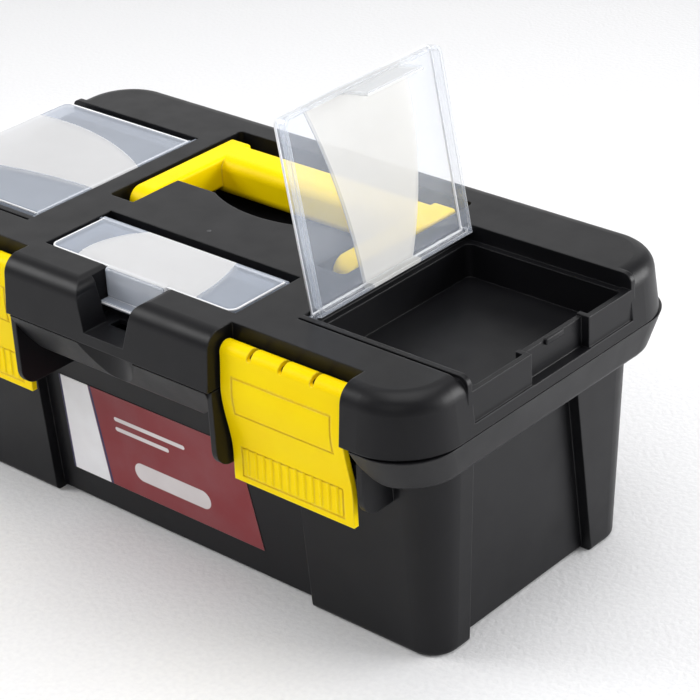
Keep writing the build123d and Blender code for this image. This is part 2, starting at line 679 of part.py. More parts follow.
def latch(side):
    """Snap latch: rolled fingers, a curved strap, a hook and a ribbed grip."""
    belly_y = LID_FRONT + LATCH_BELLY_SETBACK
    waist_y = LID_FRONT + LATCH_WAIST_SETBACK
    roll_y = LATCH_BAR_Y - LATCH_ROLL_RADIUS
    outline = [
        (roll_y, LATCH_BAR_Z), (belly_y, LATCH_BELLY_HEIGHT),
        (waist_y, LATCH_WAIST_HEIGHT), (waist_y, LATCH_BOTTOM),
    ]
    face_line = Spline(outline, tangents=((0, -1), (0, -1)))
    back_line = Pos(LATCH_WALL, 0) * face_line
    bottom_line = Line((waist_y, LATCH_BOTTOM), (waist_y + LATCH_WALL, LATCH_BOTTOM))
    top_line = Line((roll_y, LATCH_BAR_Z), (roll_y + LATCH_WALL, LATCH_BAR_Z))
    strap_face = make_face([face_line, bottom_line, back_line, top_line])
    x0 = side * LATCH_CENTRE - LATCH_WIDTH / 2
    x1 = x0 + LATCH_WIDTH
    body = Pos(x0, 0, 0) * extrude(Plane.YZ * strap_face, LATCH_WIDTH)
    body += rod_x(x0, x1, LATCH_BAR_Y, LATCH_BAR_Z, LATCH_ROLL_RADIUS)
    body -= rod_x(x0, x1, LATCH_BAR_Y, LATCH_BAR_Z, LATCH_BAR_RADIUS + RUN_FIT)
    mouth = LATCH_MOUTH / 2
    body -= block(x0, x1, LATCH_BAR_Y, LATCH_BAR_Y + OVERRUN, LATCH_BAR_Z - mouth, LATCH_BAR_Z + mouth)

    slot_bottom = LATCH_BAR_Z + LATCH_ROLL_RADIUS - LATCH_SLOT_DEPTH
    for step in (-1, 0, 1):
        x = side * LATCH_CENTRE + step * LATCH_SLOT_PITCH
        half = LATCH_SLOT_WIDTH / 2
        back = LATCH_BAR_Y + LATCH_ROLL_RADIUS + LATCH_WALL
        front = LID_FRONT - OVERRUN
        body -= block(x - half, x + half, front, back, slot_bottom, LID_TOP + OVERRUN)
        body -= rod_y(front, back, x, slot_bottom, LATCH_SLOT_EYE)

    hook_top = COLLAR_BOTTOM - KEEPER_HEIGHT - HOOK_GAP
    hook_back = POCKET_BACK - KEEPER_REACH + HOOK_REACH
    hook_half = HOOK_LENGTH / 2
    centre = side * LATCH_CENTRE
    body += block(
        centre - hook_half, centre + hook_half, waist_y + LATCH_WALL / 2 - HOOK_GAP, hook_back,
        hook_top - HOOK_HEIGHT, hook_top,
    )
    skin_face = make_face(
        [
            Pos(-FRAME_CUT, 0) * face_line, Pos(FRAME_CUT, 0) * face_line,
            Line((roll_y - FRAME_CUT, LATCH_BAR_Z), (roll_y + FRAME_CUT, LATCH_BAR_Z)),
            Line((waist_y - FRAME_CUT, LATCH_BOTTOM), (waist_y + FRAME_CUT, LATCH_BOTTOM)),
        ]
    )
    skin = Pos(x0, 0, 0) * extrude(Plane.YZ * skin_face, LATCH_WIDTH)
    body -= skin & frame_line(centre, FRAME_WIDTH, FRAME_HEIGHT, FRAME_BOTTOM)
    body -= skin & frame_line(centre, GRIP_FRAME_WIDTH, GRIP_FRAME_HEIGHT, GRIP_FRAME_BOTTOM)
    return body + grip_ribs(centre)


def frame_line(centre, width, height, bottom):
    """Upright rectangular outline that runs back through a latch."""
    frame = Rectangle(width, height) - Rectangle(width - 2 * FRAME_LINE, height - 2 * FRAME_LINE)
    place = Pos(centre, LID_FRONT + OVERRUN, bottom + height / 2)
    return place * extrude(Plane.XZ * frame, 2 * OVERRUN)


def grip_ribs(centre):
    """Upright ribs on the latch's lower grip."""
    pitch = GRIP_FIELD_WIDTH / GRIP_RIBS
    waist_y = LID_FRONT + LATCH_WAIST_SETBACK
    middle = GRIP_FIELD_BOTTOM + GRIP_FIELD_HEIGHT / 2
    ribs = []
    for index in range(GRIP_RIBS):
        x = centre + (index - (GRIP_RIBS - 1) / 2) * pitch
        place = Pos(x, waist_y + GRIP_RIB_RADIUS / 2, middle)
        ribs.append(place * Cylinder(GRIP_RIB_RADIUS, GRIP_FIELD_HEIGHT))
    return ribs


# Covers

def cover_shell(x0, x1, y0, y1, outward):
    """Shallow clear cover: a plate with a rim all round, square at its hinge side."""
    bottom = LID_TOP - COVER_RIM
    shell = block(x0, x1, y0, y1, bottom, LID_TOP)
    shell = fillet(shell.edges().filter_by(Axis.Z).group_by(outward)[-1], COVER_CORNER)
    crown = shell.edges().group_by(Axis.Z)[-1].sort_by(outward)
    shell = fillet(crown[1:], COVER_EDGE)
    return shell - well(
        x0 + COVER_WALL, x1 - COVER_WALL, y0 + COVER_WALL, y1 - COVER_WALL,
        bottom, LID_TOP - COVER_WALL, COVER_CORNER - COVER_WALL,
    )


def side_cover():
    """Cover of the right compartment, closed."""
    stub_front = SIDE_RECESS_FRONT - COVER_STUB_BITE
    stub_back = SIDE_RECESS_BACK + COVER_STUB_BITE
    shell = cover_shell(SIDE_HINGE_X, SIDE_COVER_END, SIDE_COVER_FRONT, SIDE_COVER_BACK, Axis.X)
    shell += rod_y(SIDE_COVER_FRONT, SIDE_COVER_BACK, SIDE_HINGE_X, COVER_AXIS_Z, COVER_BARREL)
    shell += rod_y(stub_front, stub_back, SIDE_HINGE_X, COVER_AXIS_Z, COVER_STUB_RADIUS)
    tab_half = NOTCH_HALF - COVER_TAB_GAP
    tab_outer = END_FACE - SEAT_GAP
    tab = block(
        tab_outer - COVER_TAB_WALL, tab_outer, NOTCH_Y - tab_half, NOTCH_Y + tab_half,
        NOTCH_BOTTOM + COVER_TAB_LIFT, LID_TOP - COVER_RIM + COVER_TAB_LAP,
    )
    return shell + tab


def right_cover():
    """Right cover, standing open on its stop."""
    hinge = Pos(SIDE_HINGE_X, 0, COVER_AXIS_Z)
    return hinge * Rot(0, -SIDE_OPEN_ANGLE, 0) * hinge.inverse() * side_cover()


def left_cover():
    """Left cover, closed."""
    return other_side(side_cover())


def front_cover():
    """Front cover, closed, with its hanging tab and finger lip."""
    stub_half = FRONT_RECESS_HALF + COVER_STUB_BITE
    front_way = Axis.Y.reverse()
    shell = cover_shell(-FRONT_COVER_HALF, FRONT_COVER_HALF, FRONT_COVER_FRONT, FRONT_HINGE_Y, front_way)
    shell += rod_x(-FRONT_COVER_HALF, FRONT_COVER_HALF, FRONT_HINGE_Y, COVER_AXIS_Z, COVER_BARREL)
    shell += rod_x(-stub_half, stub_half, FRONT_HINGE_Y, COVER_AXIS_Z, COVER_STUB_RADIUS)
    tab_back = FRONT_RECESS_FRONT - SEAT_GAP
    tab = block(-TAB_HALF, TAB_HALF, tab_back - TAB_WALL, tab_back, TAB_BOTTOM, LID_TOP)
    crown = tab.edges().filter_by(Axis.X).group_by(Axis.Z)[-1].sort_by(Axis.Y)[0]
    tab = fillet(crown, TAB_CROWN)
    bridge = block(
        -TAB_HALF, TAB_HALF, tab_back - TAB_WALL / 2, FRONT_COVER_FRONT + COVER_WALL,
        LID_TOP - COVER_RIM, LID_TOP,
    )
    lip = block(
        -TAB_HALF, TAB_HALF, tab_back - TAB_WALL - TAB_LIP, tab_back, TAB_BOTTOM, TAB_BOTTOM + TAB_WALL
    )
    return shell + tab + bridge + lip


# Handle

def carry_handle():
    """Bail handle folded flat, grip to the back."""
    arm_radius = HANDLE_ARM_HEIGHT / 2
    grip_middle = (GRIP_FRONT + GRIP_BACK) / 2
    grip_plan = Pos(grip_middle, LID_TOP - HANDLE_GRIP_HEIGHT / 2) * RectangleRounded(
        HANDLE_GRIP_DEPTH, HANDLE_GRIP_HEIGHT, HANDLE_GRIP_ROUND
    )
    shape = extrude(Plane.YZ * grip_plan, HANDLE_HALF - HANDLE_ARM_WIDTH / 2, both=True)
    arm_plan = Pos((HANDLE_PIVOT_Y + GRIP_BACK) / 2, HANDLE_PIVOT_Z) * SlotOverall(
        GRIP_BACK - HANDLE_PIVOT_Y + 2 * arm_radius, HANDLE_ARM_HEIGHT
    )
    arm_plan -= Pos(GRIP_BACK + OVERRUN / 2, HANDLE_PIVOT_Z) * Rectangle(OVERRUN, OVERRUN)
    for side in (-1, 1):
        ends = sorted((side * HANDLE_HALF, side * (HANDLE_HALF - HANDLE_ARM_WIDTH)))
        arm = Pos(ends[0], 0, 0) * extrude(Plane.YZ * arm_plan, HANDLE_ARM_WIDTH)
        arm = fillet(arm.edges(), HANDLE_ARM_ROUND)
        stub = sorted((side * (HANDLE_HALF - HANDLE_ARM_WIDTH / 2), side * (HANDLE_HALF + HANDLE_STUB_REACH)))
        shape += arm + rod_x(stub[0], stub[1], HANDLE_PIVOT_Y, HANDLE_PIVOT_Z, HANDLE_STUB_RADIUS)
    return shape


# Tray

def lift_out_tray():
    """Loose tray that hangs in the tub by its brim, with a middle grip."""
    inset = PANEL_RECESS + WALL + TRAY_GAP
    brim_bottom = SHELF_TOP + SEAT_GAP
    brim_top = brim_bottom + TRAY_BRIM
    brim_half = COLLAR_FOOT_LENGTH / 2 - WALL - TRAY_GAP
    brim_front = POCKET_BACK + WALL + TRAY_GAP
    brim_back = LID_BACK - COLLAR_BACK_INSET - WALL - TRAY_GAP
    brim_corner = COLLAR_CORNER - WALL - TRAY_GAP
    tray = well(-brim_half, brim_half, brim_front, brim_back, brim_bottom, brim_top, brim_corner)
    tray += tub_form(inset, TRAY_BOTTOM, brim_top)
    tray -= tub_form(inset + TRAY_WALL, TRAY_BOTTOM + TRAY_WALL, brim_top)
    half = TRAY_WALL / 2
    end = TUB_FOOT_LENGTH / 2 + TUB_DRAFT_SHARE * TRAY_BOTTOM - inset - TRAY_WALL / 2
    tray += block(-end, end, TUB_MIDDLE - half, TUB_MIDDLE + half, TRAY_BOTTOM + half, brim_top)
    tray += block(
        -TRAY_GRIP_HALF, TRAY_GRIP_HALF, TUB_MIDDLE - TRAY_WALL, TUB_MIDDLE + TRAY_WALL,
        TRAY_BOTTOM + half, TRAY_DIVIDER_TOP,
    )
    hole_top = TRAY_DIVIDER_TOP - TRAY_GRIP_RAIL
    hole = block(
        -TRAY_HOLE_HALF, TRAY_HOLE_HALF, TUB_MIDDLE - OVERRUN, TUB_MIDDLE + OVERRUN,
        hole_top - TRAY_HOLE_HEIGHT, hole_top,
    )
    return tray - hole


# Label

def front_label():
    """Thin sticker that follows the drafted front panel."""
    outline = Polyline(
        (-LABEL_LEFT, LABEL_BOTTOM), (LABEL_RIGHT_BOTTOM, LABEL_BOTTOM),
        (LABEL_RIGHT_TOP, LABEL_TOP), (-LABEL_LEFT, LABEL_TOP), close=True,
    )
    window = Pos(0, TUB_MIDDLE, 0) * extrude(Plane.XZ * make_face(outline), TUB_FOOT_DEPTH)
    panel = tub_form(PANEL_RECESS, FOOT_HEIGHT, SHELF_TOP)
    return window & (tub_form(PANEL_RECESS - LABEL_THICKNESS, FOOT_HEIGHT, SHELF_TOP) - panel)


NODES = {
    "base_tub": base_tub(),
    "lid_shell": lid_shell(),
    "latch_left": latch(-1),
    "latch_right": latch(1),
    "left_cover": left_cover(),
    "right_cover": right_cover(),
    "front_cover": front_cover(),
    "carry_handle": carry_handle(),
    "hinge_pin_left": hinge_pin(-1),
    "hinge_pin_right": hinge_pin(1),
    "lift_out_tray": lift_out_tray(),
    "front_label": front_label(),
}

for name, shape in NODES.items():
    export_step(shape, f"parts/{name}.step")
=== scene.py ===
"""Dressed look of a small portable tool box on a pale studio floor."""

from __future__ import annotations

import json
import logging
import math
from dataclasses import dataclass
from enum import Enum

import bmesh
import bpy
from mathutils import Matrix, Vector

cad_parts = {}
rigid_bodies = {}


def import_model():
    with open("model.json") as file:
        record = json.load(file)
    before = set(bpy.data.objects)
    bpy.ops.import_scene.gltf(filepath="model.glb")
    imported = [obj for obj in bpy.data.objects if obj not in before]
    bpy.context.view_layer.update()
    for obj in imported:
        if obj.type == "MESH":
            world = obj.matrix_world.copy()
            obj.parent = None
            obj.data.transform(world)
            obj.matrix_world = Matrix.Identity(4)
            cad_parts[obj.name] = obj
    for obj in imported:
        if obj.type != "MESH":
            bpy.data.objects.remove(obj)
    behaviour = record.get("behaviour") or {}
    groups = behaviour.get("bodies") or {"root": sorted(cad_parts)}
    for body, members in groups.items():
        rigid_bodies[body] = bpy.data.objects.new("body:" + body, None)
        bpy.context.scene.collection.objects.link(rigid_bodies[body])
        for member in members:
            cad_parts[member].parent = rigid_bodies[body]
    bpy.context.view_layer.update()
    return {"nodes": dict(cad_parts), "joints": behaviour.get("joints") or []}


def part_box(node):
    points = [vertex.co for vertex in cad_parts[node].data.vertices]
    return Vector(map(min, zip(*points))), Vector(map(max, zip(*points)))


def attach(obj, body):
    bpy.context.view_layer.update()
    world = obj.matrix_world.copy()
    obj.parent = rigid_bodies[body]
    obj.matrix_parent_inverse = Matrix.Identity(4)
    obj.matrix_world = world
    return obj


LOG = logging.getLogger("tool_box")
MM = 0.001
# Spans of a noise value over which a finish goes through its whole change.
NOISE_MIDDLE = (0.35, 0.65)
NOISE_WIDE = (0.3, 0.7)

Socket = bpy.types.NodeSocket
Node = bpy.types.Node
Material = bpy.types.Material
Piece = bpy.types.Object
Colour = tuple[float, float, float]
Point = tuple[float, float, float]
Quadratic = tuple[float, float, float]
Span = tuple[float, float]


class Finish(Enum):
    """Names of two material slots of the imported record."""

    BLACK = "black_plastic"
    CLEAR = "clear_plastic"


class Shade:
    """Node tree of one material, with short calls for the usual nodes."""

    EDGE_SAMPLES = 6
    EDGE_COSINES = (0.80, 0.985)
    SLOT_SAMPLES = 8
    SLOT_OPEN_SHARES = (0.15, 0.75)

    def __init__(self, name: str) -> None:
        """Start an empty material.

        Args:
            name: Name of the new material.
        """
        self.material = bpy.data.materials.new(name)
        self.material.use_nodes = True
        self.tree = self.material.node_tree
        self.tree.nodes.clear()
        self.place = self.add("ShaderNodeTexCoord").outputs["Object"]

    def add(self, kind: str, inputs: dict[str | int, object] | None = None, **settings: object) -> Node:
        """Add a node and fill its sockets.

        Args:
            kind: Node type name.
            inputs: Socket name or index to a socket to link, or a constant.
            **settings: Node properties.

        Returns:
            The new node.
        """
        node = self.tree.nodes.new(kind)
        for key, value in settings.items():
            setattr(node, key, value)
        for key, value in (inputs or {}).items():
            self.feed(node.inputs[key], value)
        return node

    def feed(self, socket: Socket, value: object) -> None:
        """Link a socket to another one, or set its constant.

        Args:
            socket: Input socket to fill.
            value: Output socket, number or tuple.
        """
        if isinstance(value, bpy.types.NodeSocket):
            self.tree.links.new(value, socket)
        elif socket.type == "RGBA" and len(value) == 3:
            socket.default_value = (*value, 1.0)
        else:
            socket.default_value = value

    def maths(self, operation: str, first: object, second: object = 0.0, third: object = 0.0) -> Socket:
        """Value of one Math node with up to three operands."""
        return self.add("ShaderNodeMath", {0: first, 1: second, 2: third}, operation=operation).outputs[0]

    def ramp(self, value: object, low: float, high: float, start: float = 0.0, end: float = 1.0) -> Socket:
        """Clamped straight ramp, which gives start at low and end at high."""
        return self.add("ShaderNodeMapRange", {0: value, 1: low, 2: high, 3: start, 4: end}).outputs[0]

    def fall(self, value: object, low: float, high: float) -> Socket:
        """Clamped straight ramp, which gives one at low and nought at high."""
        return self.ramp(value, low, high, 1.0, 0.0)

    def line(self, value: Socket, place: float, half: float, blur: float) -> Socket:
        """Mask of a soft-edged line: one where the value is within half of its place."""
        away = self.maths("ABSOLUTE", self.maths("SUBTRACT", value, place))
        return self.fall(away, half, half + blur)

    def noise(self, scale: float, detail: float = 2.0, stretch: Point = (1.0, 1.0, 1.0)) -> Socket:
        """Noise on object coordinates.

        Args:
            scale: Features per metre.
            detail: Octaves of detail.
            stretch: Scale of each axis.

        Returns:
            Noise value around one half.
        """
        vector = self.add("ShaderNodeMapping", {"Vector": self.place, "Scale": stretch}).outputs[0]
        node = self.add("ShaderNodeTexNoise", {"Vector": vector, "Scale": scale, "Detail": detail})
        return node.outputs["Fac"]

    def blend(self, share: object, first: object, second: object) -> Socket:
        """Colour mix.

        Args:
            share: Share of the second colour.
            first: First colour.
            second: Second colour.

        Returns:
            The mixed colour.
        """
        # A Mix node's colours go in at sockets 6 and 7 and come out at socket 2.
        node = self.add("ShaderNodeMix", {0: share, 6: first, 7: second}, data_type="RGBA")
        return node.outputs[2]

    def millimetres(self) -> Socket:
        """Object coordinates in millimetres."""
        per_axis = (1.0 / MM,) * 3
        return self.add("ShaderNodeVectorMath", {0: self.place, 1: per_axis}, operation="MULTIPLY").outputs[0]

    def soft_edges(self, radius: float) -> tuple[Socket, Socket]:
        """Rounded-over normal at sharp edges.

        Args:
            radius: Edge radius in millimetres.

        Returns:
            The rounded normal, and a mask that is one on the edges.
        """
        normal = self.add("ShaderNodeBevel", {"Radius": radius * MM}, samples=self.EDGE_SAMPLES).outputs[0]
        flat = self.add("ShaderNodeNewGeometry").outputs["Normal"]
        dot = self.add("ShaderNodeVectorMath", {0: normal, 1: flat}, operation="DOT_PRODUCT")
        return normal, self.fall(dot.outputs["Value"], *self.EDGE_COSINES)

    def crevice_shade_mask(self, reach: float) -> Socket:
        """Mask of painted shade in narrow slots and inner corners.

        Args:
            reach: Width of the slots in millimetres.

        Returns:
            One deep in a slot, nought on an open face.
        """
        around = self.add(
            "ShaderNodeAmbientOcclusion", {"Distance": reach * MM}, samples=self.SLOT_SAMPLES, only_local=True
        )
        return self.fall(around.outputs["AO"], *self.SLOT_OPEN_SHARES)

    def bump(self, height: Socket, depth: float, normal: Socket) -> Socket:
        """Normal with fine relief over a base normal, its depth in millimetres."""
        relief = {"Height": height, "Distance": depth * MM, "Normal": normal, "Strength": 1.0}
        return self.add("ShaderNodeBump", relief).outputs[0]

    def close(self, shader: Node) -> Material:
        """Connect the last shader.

        Args:
            shader: Shader node of the surface.

        Returns:
            The finished material.
        """
        output = self.add("ShaderNodeOutputMaterial")
        self.tree.links.new(shader.outputs[0], output.inputs["Surface"])
        return self.material

    def principled(self, inputs: dict[str | int, object]) -> Material:
        """Finished material with a Principled surface."""
        return self.close(self.add("ShaderNodeBsdfPrincipled", inputs))


@dataclass(frozen=True)
class MouldedPlastic:
    """Satin injection-moulded plastic with a fine grain, edges lightened by painted highlight mixed with
    wear, and painted shade in its slots.
    """

    name: str
    deep: Colour
    pale: Colour
    # Edge colour and its share: painted highlight on sharp edges, broken up in patches like wear.
    edge: Colour
    edge_share: float
    rough: Span
    grain_per_metre: float
    grain_depth_mm: float
    edge_radius_mm: float
    specular: float
    # Colour of the painted shade laid into slots and inner corners, and how far that shade reaches in
    # millimetres.
    crevice_painted_shade: Colour
    crevice_shade_mm: float = 3.0
    cloud_per_metre: float = 38.0
    # Patches of the painted edge highlight and wear: their size, noise span and share.
    highlight_and_wear_per_metre: float = 160.0
    highlight_and_wear_noise: Span = (0.4, 0.65)
    highlight_and_wear_share: Span = (0.3, 1.0)
    gloss_per_metre: float = 90.0

    def build(self) -> Material:
        """Make the material.

        Returns:
            The finished material.
        """
        shade = Shade(self.name)
        normal, edges = shade.soft_edges(self.edge_radius_mm)
        cloud = shade.ramp(shade.noise(self.cloud_per_metre, detail=3.0), *NOISE_MIDDLE)
        colour = shade.blend(cloud, self.deep, self.pale)
        # Painted shade: slots and inner corners are darkened towards the slot colour.
        colour = shade.blend(shade.crevice_shade_mask(self.crevice_shade_mm), colour, self.crevice_painted_shade)
        # Painted highlight mixed with wear: sharp edges are lightened in patches towards the edge colour.
        patchy = shade.ramp(shade.noise(self.highlight_and_wear_per_metre), *self.highlight_and_wear_noise, *self.highlight_and_wear_share)
        edge_highlight_and_wear = shade.maths("MULTIPLY", shade.maths("MULTIPLY", edges, patchy), self.edge_share)
        colour = shade.blend(edge_highlight_and_wear, colour, self.edge)
        rough = shade.ramp(shade.noise(self.gloss_per_metre, detail=4.0), *NOISE_WIDE, *self.rough)
        relief = shade.bump(shade.noise(self.grain_per_metre), self.grain_depth_mm, normal)
        return shade.principled(
            {"Base Color": colour, "Roughness": rough, "Normal": relief, "Specular IOR Level": self.specular}
        )


@dataclass(frozen=True)
class Haze:
    """How much a clear cover hides outside and inside its frosted band, and the band's colour."""

    clear_cover: float
    milk_cover: float
    milk: Colour


@dataclass(frozen=True)
class CoverShape:
    """Outline and frosted band of a cover, along it from the hinge and across it, in millimetres."""

    reach: float
    low: float
    high: float
    bead_run: float
    frost_reach: float
    frost_low: Quadratic
    frost_high: Quadratic

    def frost_limits(self, along: float) -> Span:
        """Both edges of the frosted band.

        Args:
            along: Distance from the hinge.

        Returns:
            Lower and upper place across the cover.
        """
        low, high = (
            constant + linear * along + square * along**2
            for constant, linear, square in (self.frost_low, self.frost_high)
        )
        return low, high


@dataclass(frozen=True)
class CoverPlan:
    """One clear cover: its shape and haze, its hinge in millimetres and its directions in the frame."""

    node: str
    shape: CoverShape
    haze: Haze
    hinge: Point
    along: Point
    across: Point
    outward: Point

    def start(self) -> float:
        """Place of the hinge along the cover's own direction."""
        return sum(place * share for place, share in zip(self.hinge, self.along))

    def spot(self, along: float, across: float, lift: float) -> Point:
        """Point on the cover.

        Args:
            along: Distance from the hinge.
            across: Place across the cover.
            lift: Height over the hinge line, square to the cover.

        Returns:
            Point in millimetres.
        """
        x, y, z = (
            hinge + along * run + across * side + lift * out
            for hinge, run, side, out in zip(self.hinge, self.along, self.across, self.outward)
        )
        return x, y, z


@dataclass(frozen=True)
class ClearPlastic:
    """Clear styrene with a hazy body, a frosted band, a mirror skin and edges whitened as painted highlight.
    """

    name: str
    plan: CoverPlan
    tint: Colour = (0.76, 0.83, 0.96)
    # Painted highlight on the edges: its colour and how much it hides.
    rim: Colour = (0.96, 0.97, 0.98)
    rim_highlight_cover: float = 0.80
    most_cover: float = 0.96
    edge_radius_mm: float = 0.5
    frost_blur_mm: float = 0.15
    frost_grain_per_metre: float = 2600.0
    frost_depth_mm: float = 0.05
    haze_per_metre: float = 30.0
    haze_change: Span = (-0.02, 0.02)
    through_share: float = 0.4
    skin_rough: Span = (0.12, 0.40)
    head_on: float = 0.045
    facing_blend: float = 0.5
    grazing_power: float = 5.0

    def edge_line(self, shade: Shade, along: Socket, terms: Quadratic) -> Socket:
        """Place across the cover of one edge of the band, at a distance from the hinge."""
        slope = shade.maths("MULTIPLY_ADD", along, terms[2], terms[1])
        return shade.maths("MULTIPLY_ADD", along, slope, terms[0])

    def frost(self, shade: Shade) -> Socket:
        """Mask of the frosted band.

        Args:
            shade: Material being built.

        Returns:
            One inside the band, nought outside it.
        """
        shape, place = self.plan.shape, shade.millimetres()
        along, across = (
            shade.add("ShaderNodeVectorMath", {0: place, 1: axis}, operation="DOT_PRODUCT").outputs["Value"]
            for axis in (self.plan.along, self.plan.across)
        )
        run = shade.maths("SUBTRACT", along, self.plan.start())
        above = shade.maths("SUBTRACT", across, self.edge_line(shade, run, shape.frost_low))
        below = shade.maths("SUBTRACT", self.edge_line(shade, run, shape.frost_high), across)
        inside = shade.maths("MINIMUM", above, below)
        inside = shade.maths("MINIMUM", inside, shade.maths("SUBTRACT", shape.frost_reach, run))
        return shade.ramp(inside, -self.frost_blur_mm, self.frost_blur_mm)

    def build(self) -> Material:
        """Make the material.

        Returns:
            The finished material.
        """
        shade, haze = Shade(self.name), self.plan.haze
        normal, edges = shade.soft_edges(self.edge_radius_mm)
        frost = self.frost(shade)
        cloud = shade.ramp(shade.noise(self.haze_per_metre, detail=3.0), *NOISE_WIDE, *self.haze_change)
        cover = shade.ramp(frost, 0.0, 1.0, haze.clear_cover, haze.milk_cover)
        # Painted highlight: the edges are made less see-through.
        cover = shade.maths("MULTIPLY_ADD", edges, self.rim_highlight_cover, shade.maths("ADD", cover, cloud))
        cover = shade.ramp(cover, 0.0, self.most_cover, 0.0, self.most_cover)
        grain = shade.maths("MULTIPLY", shade.noise(self.frost_grain_per_metre), frost)
        relief = shade.bump(grain, self.frost_depth_mm, normal)
        # Painted highlight: the edges blend towards the rim colour.
        colour = shade.blend(edges, shade.blend(frost, self.tint, haze.milk), self.rim)
        front = shade.add("ShaderNodeBsdfDiffuse", {"Color": colour, "Normal": relief})
        through = shade.add("ShaderNodeBsdfTranslucent", {"Color": colour, "Normal": relief})
        body = shade.add(
            "ShaderNodeMixShader", {0: self.through_share, 1: front.outputs[0], 2: through.outputs[0]}
        )
        open_air = shade.add("ShaderNodeBsdfTransparent")
        body = shade.add("ShaderNodeMixShader", {0: cover, 1: open_air.outputs[0], 2: body.outputs[0]})
        gloss = shade.ramp(frost, 0.0, 1.0, *self.skin_rough)
        skin = shade.add("ShaderNodeBsdfAnisotropic", {"Roughness": gloss, "Normal": relief})
        facing = shade.add("ShaderNodeLayerWeight", {"Blend": self.facing_blend, "Normal": relief})
        grazing = shade.maths("POWER", facing.outputs["Facing"], self.grazing_power)
        mirror = shade.maths("MULTIPLY_ADD", grazing, 1.0 - self.head_on, self.head_on)
        surface = shade.add("ShaderNodeMixShader", {0: mirror, 1: body.outputs[0], 2: skin.outputs[0]})
        return shade.close(surface)


@dataclass(frozen=True)
class DrawnSteel:
    """Bright drawn wire with fine lines along its length."""

    name: str = "drawn_steel"
    bright: Colour = (0.60, 0.60, 0.62)
    dark: Colour = (0.42, 0.42, 0.44)
    lines_per_metre: float = 3000.0
    line_stretch: Point = (0.02, 1.0, 1.0)
    rough: Span = (0.22, 0.40)

    def build(self) -> Material:
        """Make the material.

        Returns:
            The finished material.
        """
        shade = Shade(self.name)
        lines = shade.noise(self.lines_per_metre, detail=3.0, stretch=self.line_stretch)
        colour = shade.blend(shade.ramp(lines, *NOISE_MIDDLE), self.bright, self.dark)
        rough = shade.ramp(lines, *NOISE_WIDE, *self.rough)
        return shade.principled({"Base Color": colour, "Metallic": 1.0, "Roughness": rough})


@dataclass(frozen=True)
class RoundedStroke:
    """Level printed stroke with round ends, along the box and up, in millimetres."""

    left: float
    right: float
    level: float
    half: float
    blur: float

    def mask(self, shade: Shade, x: Socket, z: Socket) -> Socket:
        """Ink of the stroke.

        Args:
            shade: Material being built.
            x: Place along the box.
            z: Height.

        Returns:
            One inside the stroke, nought outside it.
        """
        reach = shade.maths("ABSOLUTE", shade.maths("SUBTRACT", x, (self.left + self.right) / 2))
        beyond = shade.maths("MAXIMUM", shade.maths("SUBTRACT", reach, (self.right - self.left) / 2), 0.0)
        rise = shade.maths("SUBTRACT", z, self.level)
        square = shade.maths("MULTIPLY_ADD", beyond, beyond, shade.maths("MULTIPLY", rise, rise))
        return shade.fall(shade.maths("SQRT", square), self.half, self.half + self.blur)


@dataclass(frozen=True)
class PrintedFilm:
    """Printed sticker: a plain two-colour field with a rounded bar and two thin stripes."""

    name: str = "printed_film"
    field_colour: Colour = (0.240, 0.031, 0.037)
    band_colour: Colour = (0.90, 0.90, 0.92)
    line_colour: Colour = (0.030, 0.032, 0.095)
    stroke_colour: Colour = (0.76, 0.72, 0.72)
    fade_colour: Colour = (0.32, 0.22, 0.23)
    edge_colour: Colour = (0.5, 0.47, 0.47)
    band_lean: float = 0.11
    band_edge: float = -42.2
    band_blur: float = 0.2
    rule_place: float = -41.2
    rule_half: float = 0.5
    rim_place: float = -67.0
    rim_half: float = 0.9
    line_blur: float = 0.3
    strokes: tuple[RoundedStroke, ...] = (
        RoundedStroke(left=-22.0, right=14.0, level=27.0, half=4.4, blur=0.3),
        RoundedStroke(left=-34.0, right=6.0, level=50.0, half=0.9, blur=0.25),
        RoundedStroke(left=-34.0, right=-4.0, level=45.0, half=0.9, blur=0.25),
    )
    fade_per_metre: float = 45.0
    fade_noise: Span = (0.35, 0.7)
    fade_share: float = 0.16
    edge_share: float = 0.4
    edge_radius_mm: float = 0.3
    dimples_per_metre: float = 700.0
    dimple_depth_mm: float = 0.015
    gloss_per_metre: float = 60.0
    rough: Span = (0.34, 0.46)
    specular: float = 0.25

    def artwork(self, shade: Shade) -> Socket:
        """Fresh colours of the plain generic layout.

        Args:
            shade: Material being built.

        Returns:
            Colour at each place on the sticker.
        """
        x, _, z = shade.add("ShaderNodeSeparateXYZ", {0: shade.millimetres()}).outputs
        slant = shade.maths("MULTIPLY_ADD", z, self.band_lean, x)
        band = shade.fall(slant, self.band_edge - self.band_blur, self.band_edge + self.band_blur)
        colour = shade.blend(band, self.field_colour, self.band_colour)
        rule = shade.line(slant, self.rule_place, self.rule_half, self.line_blur)
        colour = shade.blend(rule, colour, self.line_colour)
        for stroke in self.strokes:
            colour = shade.blend(stroke.mask(shade, x, z), colour, self.stroke_colour)
        rim = shade.line(x, self.rim_place, self.rim_half, self.line_blur)
        return shade.blend(rim, colour, self.line_colour)

    def build(self) -> Material:
        """Make the material.

        Returns:
            The finished material.
        """
        shade = Shade(self.name)
        normal, edges = shade.soft_edges(self.edge_radius_mm)
        fade = shade.ramp(
            shade.noise(self.fade_per_metre, detail=4.0), *self.fade_noise, 0.0, self.fade_share
        )
        colour = shade.blend(fade, self.artwork(shade), self.fade_colour)
        colour = shade.blend(shade.maths("MULTIPLY", edges, self.edge_share), colour, self.edge_colour)
        rough = shade.ramp(shade.noise(self.gloss_per_metre, detail=3.0), *NOISE_WIDE, *self.rough)
        relief = shade.bump(shade.noise(self.dimples_per_metre), self.dimple_depth_mm, normal)
        return shade.principled(
            {"Base Color": colour, "Roughness": rough, "Normal": relief, "Specular IOR Level": self.specular}
        )


